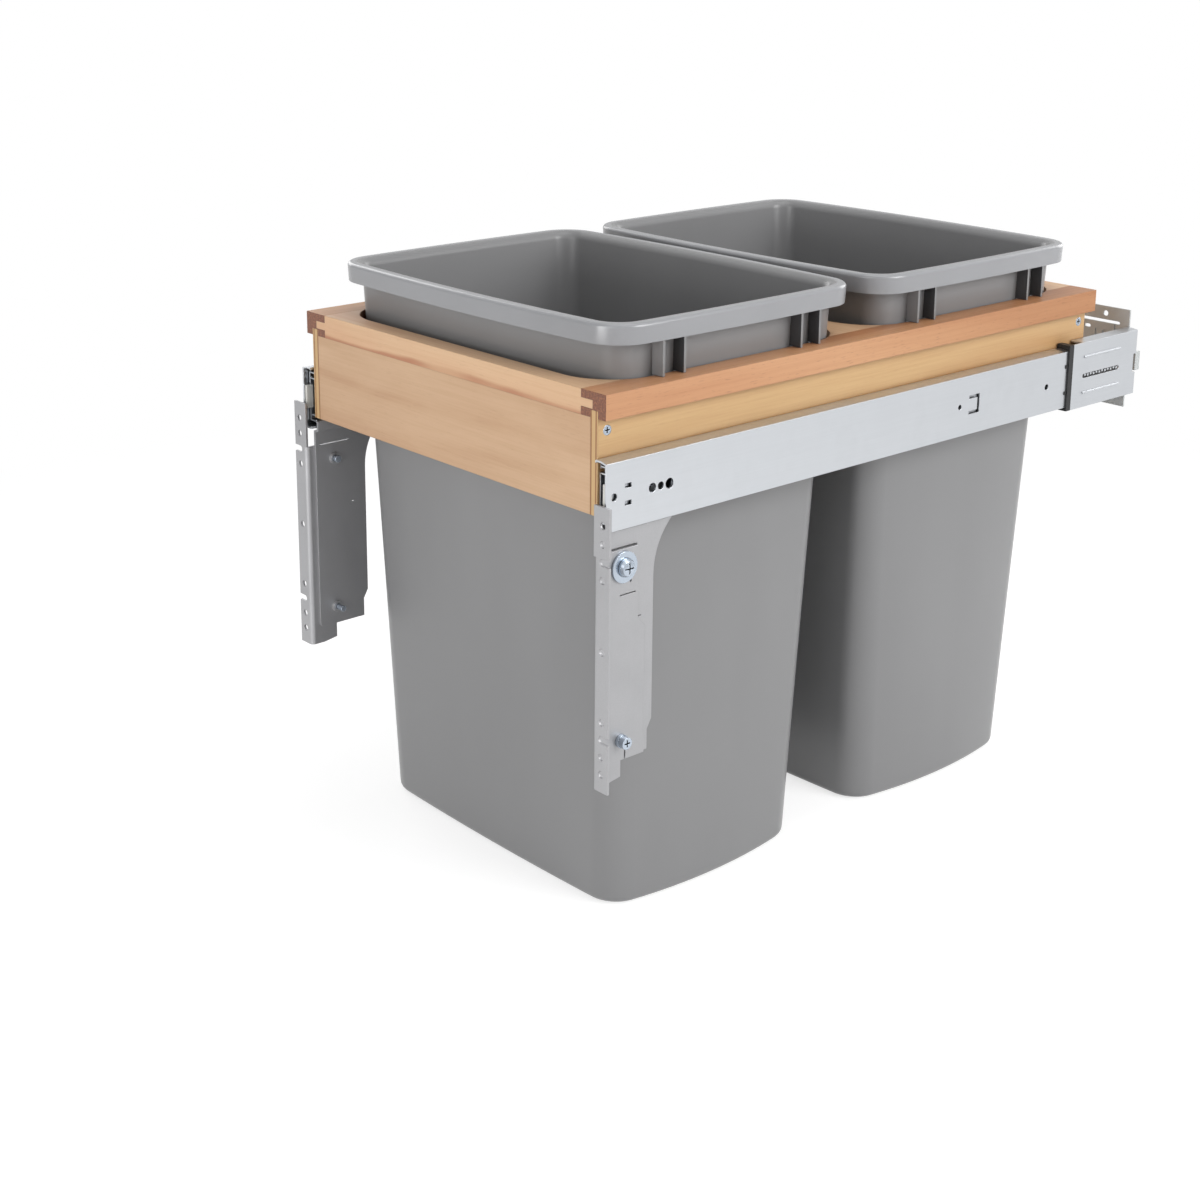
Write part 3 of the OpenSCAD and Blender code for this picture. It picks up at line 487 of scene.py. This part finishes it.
def smooth_bin(node, finishes):
    """A closed shell around the section, with ribs under the rim, in place of a CAD bin."""
    mesh = bmesh.new()
    section = bin_section()
    rings = [[mesh.verts.new(p) for p in bin_ring(z, out)] for z, out in section]
    count = len(rings[0])
    mesh.faces.new(rings[0])
    mesh.faces.new(rings[-1])
    for step, (low, high) in enumerate(zip(rings, rings[1:])):
        # Faces on the rim take the finish with the painted light
        on_rim = min(section[step][1], section[step + 1][1]) > LIP_R - BIN_WALL - RIB_IN
        for i in range(count):
            j = (i + 1) % count
            face = mesh.faces.new((low[i], high[i], high[j], low[j]))
            face.material_index = RIM_LIGHT_FINISH if on_rim else 0
    for x in (-1, 1):
        for y in (-1, 1):
            for spot in RIB_SPOTS:
                add_rib(mesh, x, y * spot)
    bmesh.ops.translate(mesh, vec=(0.0, BIN_YS[node], 0.0), verts=mesh.verts)
    piece = finish_mesh(node + "_moulded", mesh, [finishes[key] for key in ("bin", "bin_rim_painted_light", "bin_rib_shade")],
                        node)
    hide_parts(node)


# Toothed strip that shows in the long slot of each rear sleeve

STRIP_X, STRIP_T, STRIP_H = 193.35, 0.5, 3.5
STRIP_Y, STRIP_LEN = 568.5, 53.2
TOOTH_PITCH, TOOTH_LEN, TOOTH_H, TOOTH_T = 4.4, 2.2, 2.0, 0.4
TOOTH_DROPS = (-0.2, -0.5)


def toothed_strip(side_name, side, dark, bright):
    """A dark strip with a row of bright teeth, just inside the slot."""
    mesh = bmesh.new()
    tooth_x = STRIP_X + STRIP_T
    bars = [(STRIP_X, tooth_x, STRIP_Y, STRIP_Y + STRIP_LEN, -STRIP_H / 2, STRIP_H / 2)]
    for i in range(int(STRIP_LEN / TOOTH_PITCH)):
        y = STRIP_Y + TOOTH_PITCH * (i + 0.5)
        z = TOOTH_H * TOOTH_DROPS[i % 2]
        bars.append((tooth_x, tooth_x + TOOTH_T, y, y + TOOTH_LEN, z, z + TOOTH_H))
    for index, (x0, x1, y0, y1, z0, z1) in enumerate(bars):
        low_x, high_x = sorted((side * x0, side * x1))
        paint(add_box(mesh, (low_x, y0, z0), (high_x, y1, z1)), min(index, 1))
    finish_mesh(side_name + "_toothed_strip", mesh, (dark, bright), "fixed_slides")


# Studio


def seen(tree):
    """1 for the rays that show the background: camera, glossy and transmission rays."""
    path = tree.nodes.new("ShaderNodeLightPath")
    total = path.outputs["Is Camera Ray"]
    for name in ("Is Glossy Ray", "Is Transmission Ray"):
        step = tree.nodes.new("ShaderNodeMath")
        step.operation = "MAXIMUM"
        tree.links.new(total, step.inputs[0])
        tree.links.new(path.outputs[name], step.inputs[1])
        total = step.outputs[0]
    return total


def mixed(tree, share, a, b):
    """A shader between two others."""
    mix = tree.nodes.new("ShaderNodeMixShader")
    for index, output in enumerate((share, a, b)):
        tree.links.new(output, mix.inputs[index])
    return mix.outputs[0]


def coloured(tree, kind, colour):
    """A new shader of one colour."""
    made = tree.nodes.new(kind)
    made.inputs["Color"].default_value = colour
    return made


AMBIENT = 0.365
SHINE_FROM, SHINE_TO = -0.1, 0.75
SHINE_LOW, SHINE_HIGH = 0.62, 1.05


def studio_world():
    """Soft light from all round, a brighter sky for reflections and plain white behind the object."""
    world = bpy.data.worlds.new("studio")
    world.use_nodes = True
    bpy.context.scene.world = world
    tree = world.node_tree
    tree.nodes.clear()
    output = tree.nodes.new("ShaderNodeOutputWorld")
    lit, shine, shown = (coloured(tree, "ShaderNodeBackground", WHITE) for _ in range(3))
    lit.inputs["Strength"].default_value = AMBIENT
    place = tree.nodes.new("ShaderNodeTexCoord")
    split = tree.nodes.new("ShaderNodeSeparateXYZ")
    tree.links.new(place.outputs["Generated"], split.inputs[0])
    sky = tree.nodes.new("ShaderNodeMapRange")
    sky.interpolation_type = "SMOOTHSTEP"
    tree.links.new(split.outputs["Z"], sky.inputs["Value"])
    set_range(sky, SHINE_FROM, SHINE_TO, SHINE_LOW, SHINE_HIGH)
    tree.links.new(sky.outputs[0], shine.inputs["Strength"])
    path = tree.nodes.new("ShaderNodeLightPath")
    unseen = mixed(tree, path.outputs["Is Glossy Ray"], lit.outputs[0], shine.outputs[0])
    surface = mixed(tree, path.outputs["Is Camera Ray"], unseen, shown.outputs[0])
    tree.links.new(surface, output.inputs["Surface"])


FLOOR_HALF = 8.0
FLOOR_SHADE = (0.42, 0.42, 0.42, 1.0)
FLOOR_LIT = (0.8, 0.8, 0.8, 1.0)
FLOOR_GLOW = 0.72
FLOOR_DROP = 0.0005
FLOOR_FADE = (0.55, 1.3)


def studio_floor(height, centre):
    """A white floor that keeps the object's soft shadow and fades into the white behind it."""
    mesh = bpy.data.meshes.new("floor")
    h = FLOOR_HALF
    around = [(x, y, height) for x, y in ((-h, -h), (h, -h), (h, h), (-h, h))]
    mesh.from_pydata(around, [], [(0, 1, 2, 3)])
    floor = bpy.data.objects.new("floor", mesh)
    bpy.context.scene.collection.objects.link(floor)
    material = bpy.data.materials.new("floor")
    material.use_nodes = True
    tree = material.node_tree
    tree.nodes.clear()
    output = tree.nodes.new("ShaderNodeOutputMaterial")
    plain = coloured(tree, "ShaderNodeBsdfDiffuse", FLOOR_LIT)
    shade = coloured(tree, "ShaderNodeBsdfDiffuse", FLOOR_SHADE)
    glow = tree.nodes.new("ShaderNodeEmission")
    glow.inputs["Strength"].default_value = FLOOR_GLOW
    white = tree.nodes.new("ShaderNodeEmission")
    both = tree.nodes.new("ShaderNodeAddShader")
    tree.links.new(shade.outputs[0], both.inputs[0])
    tree.links.new(glow.outputs[0], both.inputs[1])
    place = tree.nodes.new("ShaderNodeNewGeometry")
    away = tree.nodes.new("ShaderNodeVectorMath")
    away.operation = "DISTANCE"
    tree.links.new(place.outputs["Position"], away.inputs[0])
    away.inputs[1].default_value = (centre.x, centre.y, height)
    fade = tree.nodes.new("ShaderNodeMapRange")
    fade.interpolation_type = "SMOOTHSTEP"
    tree.links.new(away.outputs["Value"], fade.inputs["Value"])
    set_range(fade, FLOOR_FADE[0], FLOOR_FADE[1], 0.0, 1.0)
    faded = mixed(tree, fade.outputs[0], both.outputs[0], white.outputs[0])
    tree.links.new(mixed(tree, seen(tree), plain.outputs[0], faded), output.inputs["Surface"])
    mesh.materials.append(material)


def lamp(name, at, towards, size, power):
    data = bpy.data.lights.new(name, "AREA")
    data.shape = "SQUARE"
    data.size = size
    data.energy = power
    lamp_object = bpy.data.objects.new(name, data)
    bpy.context.scene.collection.objects.link(lamp_object)
    lamp_object.location = at
    direction = Vector(towards) - Vector(at)
    lamp_object.rotation_euler = direction.to_track_quat("-Z", "Y").to_euler()


# Place in metres, size in metres and power in watts
LAMPS = {
    "right": ((2.1, 0.9, 1.0), 1.4, 40.0),
    "top": ((0.2, 0.4, 2.3), 1.6, 11.0),
    "front": ((0.9, -2.4, 0.9), 1.6, 10.5),
    "low": ((0.3, -1.9, 0.05), 0.8, 13.5),
    "left": ((-2.1, 0.4, 0.9), 1.4, 15.0),
    "back": ((0.1, 3.0, 0.8), 1.6, 22.0),
}


def studio_lamps(centre):
    for name, (at, size, power) in LAMPS.items():
        lamp(name, at, centre, size, power)


def photo_camera():
    data = bpy.data.cameras.new("camera")
    data.sensor_width = SENSOR_MM
    data.lens = FOCAL_PX / PHOTO_SIZE * SENSOR_MM
    data.shift_x = (PHOTO_SIZE / 2 - CENTRE_PX[0]) / PHOTO_SIZE
    data.shift_y = (CENTRE_PX[1] - PHOTO_SIZE / 2) / PHOTO_SIZE
    data.clip_start, data.clip_end = CLIP
    camera = bpy.data.objects.new("camera", data)
    bpy.context.scene.collection.objects.link(camera)
    camera.location = CAMERA_AT
    camera.rotation_euler = (math.radians(90 - CAMERA_PITCH), 0.0, math.radians(CAMERA_YAW))
    bpy.context.scene.camera = camera


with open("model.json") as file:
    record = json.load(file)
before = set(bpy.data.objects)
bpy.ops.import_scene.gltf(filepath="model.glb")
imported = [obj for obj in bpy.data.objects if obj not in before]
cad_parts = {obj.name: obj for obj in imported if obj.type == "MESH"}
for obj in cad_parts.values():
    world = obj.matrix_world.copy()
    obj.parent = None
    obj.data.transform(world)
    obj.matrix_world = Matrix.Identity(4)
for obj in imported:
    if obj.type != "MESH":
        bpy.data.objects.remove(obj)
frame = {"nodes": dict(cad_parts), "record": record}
cad_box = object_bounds()
middle = (cad_box[0] + cad_box[1]) / 2
finishes = dress(frame)
for bin_node in BIN_YS:
    smooth_bin(bin_node, finishes)
for side_name, side in (("right", 1), ("left", -1)):
    toothed_strip(side_name, side, finishes["collar"], finishes["zinc"])
studio_world()
studio_floor(cad_box[0].z - FLOOR_DROP, middle)
studio_lamps(middle)
photo_camera()
bpy.context.scene.view_settings.view_transform = "Standard"
